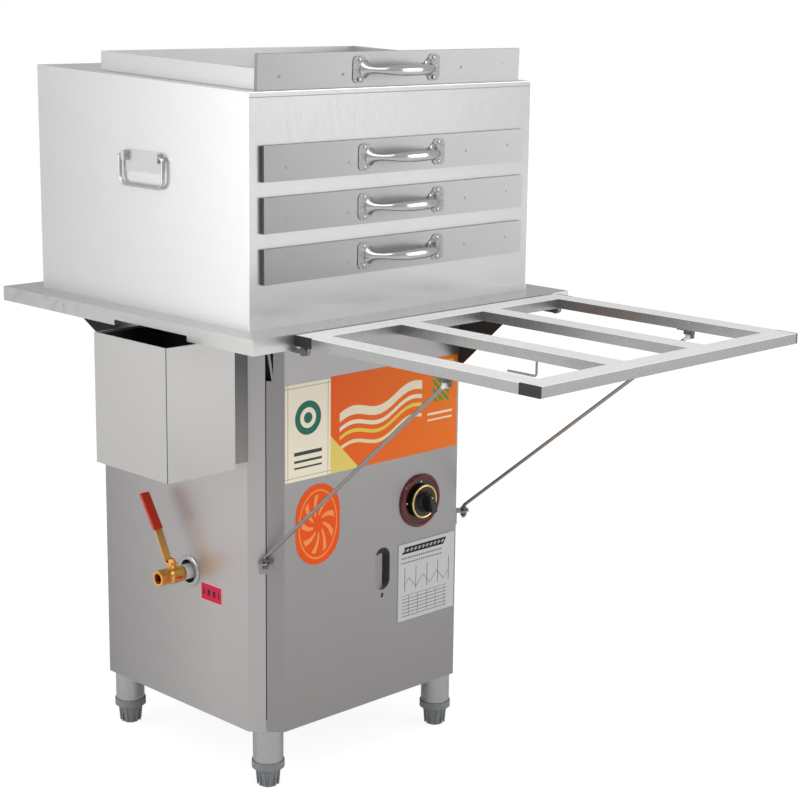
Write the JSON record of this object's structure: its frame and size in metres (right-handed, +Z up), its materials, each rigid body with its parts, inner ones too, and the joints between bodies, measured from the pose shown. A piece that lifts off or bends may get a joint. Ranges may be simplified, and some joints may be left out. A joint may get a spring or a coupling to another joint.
{
  "type": "rice noodle roll steamer",
  "caption": "Gas-fired stainless steamer on a four-legged cabinet: drawer steam box, spare drawer on top, fold-down rack, side water box and drain valve",
  "frame": {"origin": "on the floor, under the middle of the overall outline", "axes": "+X to the right along the drawer fronts, +Y from the drawer fronts to the back, +Z up"},
  "size_m": [0.746, 1.146, 1.2088],
  "materials": {
    "stainless_panels": "brushed stainless sheet",
    "stainless_drawers": "drawn stainless sheet",
    "stainless_inside": "plain stainless",
    "polished_steel": "polished stainless",
    "brass": "plain brass",
    "cast_iron": "sand-cast",
    "black_plastic": "matt black",
    "grey_plastic": "matt grey",
    "red_plastic": "dipped red vinyl",
    "ceramic": "white ceramic"
  },
  "bodies": {
    "cabinet": {"worktop": "stainless_panels", "overhang_gussets": "stainless_inside", "left_panel": "stainless_panels", "right_panel": "stainless_panels", "front_panel": "stainless_panels", "back_panel": "stainless_panels", "floor_pan": "stainless_inside", "corner_posts": "stainless_inside", "leg_tubes": "polished_steel", "boiler_tank": "stainless_inside", "boiler_bearers": "stainless_inside", "steam_outlet": "stainless_inside", "burner": "cast_iron", "burner_bearer": "stainless_inside", "gas_tap": "brass", "gas_supply_pipe": "brass", "burner_pipe": "brass", "igniter": "ceramic", "water_box": "stainless_panels", "water_box_spacer": "stainless_inside", "water_pipe": "stainless_inside", "drain_pipe": "stainless_inside", "drain_trim_ring": "polished_steel", "drain_valve": "brass", "dial_plate": "black_plastic", "strut_eyes": "stainless_inside", "rack_brackets": "stainless_inside"},
    "steam_box": {"steam_box_shell": "stainless_panels", "steam_box_front": "stainless_panels", "drawer_runners": "stainless_inside", "bail_plates": "stainless_inside"},
    "left_bail": {"bail_left": "polished_steel"},
    "right_bail": {"bail_right": "polished_steel"},
    "bottom_drawer": {"bottom_drawer_front": "stainless_drawers", "bottom_drawer_tray": "stainless_drawers", "bottom_drawer_pull": "polished_steel"},
    "middle_drawer": {"middle_drawer_front": "stainless_drawers", "middle_drawer_tray": "stainless_drawers", "middle_drawer_pull": "polished_steel"},
    "top_drawer": {"top_drawer_front": "stainless_drawers", "top_drawer_tray": "stainless_drawers", "top_drawer_pull": "polished_steel"},
    "spare_drawer": {"spare_drawer_front": "stainless_drawers", "spare_drawer_tray": "stainless_drawers", "spare_drawer_pull": "polished_steel"},
    "drain_handle": {"drain_lever": "brass", "drain_lever_sleeve": "red_plastic"},
    "knob": {"gas_knob": "black_plastic"},
    "screw_foot_front_left": {"foot_front_left": "grey_plastic"},
    "screw_foot_front_right": {"foot_front_right": "grey_plastic"},
    "screw_foot_back_right": {"foot_back_right": "grey_plastic"},
    "screw_foot_back_left": {"foot_back_left": "grey_plastic"},
    "rack": {"rack_front_tube": "stainless_panels", "rack_back_tube": "stainless_panels", "rack_side_rails": "stainless_panels", "rack_slats": "stainless_panels", "rack_end_caps": "black_plastic", "strut_cups": "stainless_inside"},
    "left_strut": {"strut_left": "polished_steel"},
    "right_strut": {"strut_right": "polished_steel"}
  },
  "joints": [
    {"name": "steam_box_lift", "type": "slide", "parent": "cabinet", "child": "steam_box", "axis": [0, 0, 1], "range_m": [0, 0.35]},
    {"name": "bottom_drawer_slide", "type": "slide", "parent": "steam_box", "child": "bottom_drawer", "axis": [0, -1, 0], "range_m": [0, 0.35]},
    {"name": "middle_drawer_slide", "type": "slide", "parent": "steam_box", "child": "middle_drawer", "axis": [0, -1, 0], "range_m": [0, 0.35]},
    {"name": "top_drawer_slide", "type": "slide", "parent": "steam_box", "child": "top_drawer", "axis": [0, -1, 0], "range_m": [0, 0.35]},
    {"name": "spare_drawer_lift", "type": "slide", "parent": "steam_box", "child": "spare_drawer", "axis": [0, 0, 1], "range_m": [0, 0.3]},
    {"name": "left_bail_swing", "type": "hinge", "parent": "steam_box", "child": "left_bail", "pos_m": [-0.2975, 0.227, 1.043], "axis": [0, 1, 0], "range_deg": [0, 88]},
    {"name": "right_bail_swing", "type": "hinge", "parent": "steam_box", "child": "right_bail", "pos_m": [0.3355, 0.227, 1.043], "axis": [0, 1, 0], "range_deg": [-88, 0]},
    {"name": "drain_lever_turn", "type": "hinge", "parent": "cabinet", "child": "drain_handle", "pos_m": [-0.244, 0.232, 0.347], "axis": [0, 0, 1], "range_deg": [0, 90]},
    {"name": "gas_knob_turn", "type": "hinge", "parent": "cabinet", "child": "knob", "pos_m": [0.141, 0.038, 0.445], "axis": [0, -1, 0], "range_deg": [0, 90]},
    {"name": "front_left_foot_screw", "type": "slide", "parent": "cabinet", "child": "screw_foot_front_left", "axis": [0, 0, -1], "range_m": [0, 0.02]},
    {"name": "front_right_foot_screw", "type": "slide", "parent": "cabinet", "child": "screw_foot_front_right", "axis": [0, 0, -1], "range_m": [0, 0.02]},
    {"name": "back_right_foot_screw", "type": "slide", "parent": "cabinet", "child": "screw_foot_back_right", "axis": [0, 0, -1], "range_m": [0, 0.02]},
    {"name": "back_left_foot_screw", "type": "slide", "parent": "cabinet", "child": "screw_foot_back_left", "axis": [0, 0, -1], "range_m": [0, 0.02]},
    {"name": "rack_fold", "type": "hinge", "parent": "cabinet", "child": "rack", "pos_m": [-0.256, -0.099, 0.775], "axis": [1, 0, 0], "range_deg": [0, 90]},
    {"name": "left_strut_swing", "type": "hinge", "parent": "rack", "child": "left_strut", "pos_m": [-0.237, -0.384, 0.77], "axis": [0.751, 0.4704, -0.4633], "range_deg": [-180, 0]},
    {"name": "right_strut_swing", "type": "hinge", "parent": "rack", "child": "right_strut", "pos_m": [0.318, -0.384, 0.77], "axis": [-0.7417, 0.4792, -0.4693], "range_deg": [0, 180]}
  ],
  "couplings": [
    {"joint": "left_strut_swing", "follows": "rack_fold", "ratio": -2},
    {"joint": "right_strut_swing", "follows": "rack_fold", "ratio": 2}
  ]
}
